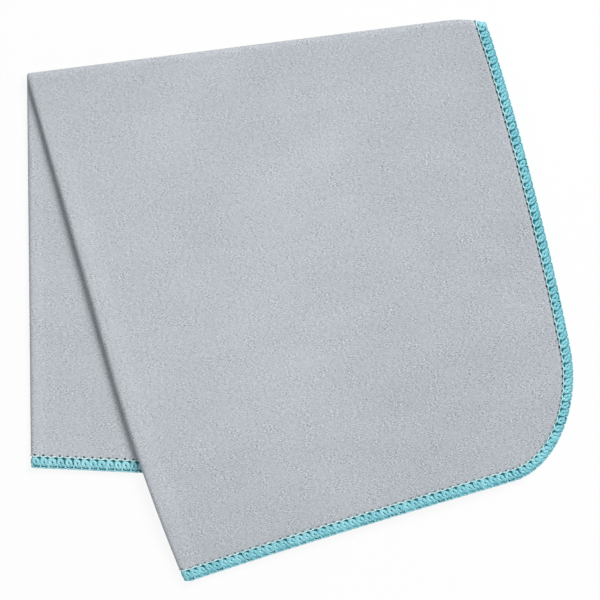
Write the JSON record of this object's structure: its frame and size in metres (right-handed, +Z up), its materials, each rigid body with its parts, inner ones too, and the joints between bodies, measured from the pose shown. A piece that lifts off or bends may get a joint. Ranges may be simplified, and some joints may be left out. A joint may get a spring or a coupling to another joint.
{
  "type": "cleaning cloth",
  "caption": "Soft square microfibre cleaning cloth with rounded corners and an overlocked edge, folded in half and in half again, with a fold that opens.",
  "frame": {"origin": "middle of the underside of the folded cloth, on the surface that it lies on", "axes": "+Z up, X along the crease of the second fold, which is on the +Y side; the open ends point to -Y and the first fold is at -X"},
  "size_m": [0.239, 0.228, 0.0069],
  "materials": {
    "microfibre_cloth": "light grey microfibre with a short dense nap, matte",
    "needle_thread": "thin pale aqua sewing thread, slightly shiny",
    "looper_thread": "bulky soft aqua thread, matte"
  },
  "bodies": {
    "back_half": {"back_half_cloth": "microfibre_cloth", "back_half_needle_thread": "needle_thread", "back_half_upper_looper_thread": "looper_thread", "back_half_lower_looper_thread": "looper_thread"},
    "front_half": {"front_half_cloth": "microfibre_cloth", "front_half_needle_thread": "needle_thread", "front_half_upper_looper_thread": "looper_thread", "front_half_lower_looper_thread": "looper_thread"}
  },
  "joints": [
    {"name": "top_fold", "type": "hinge", "parent": "back_half", "child": "front_half", "pos_m": [-0.09987, 0.11402, 0.003], "axis": [-1, 0, 0], "range_deg": [0, 179.3]}
  ]
}
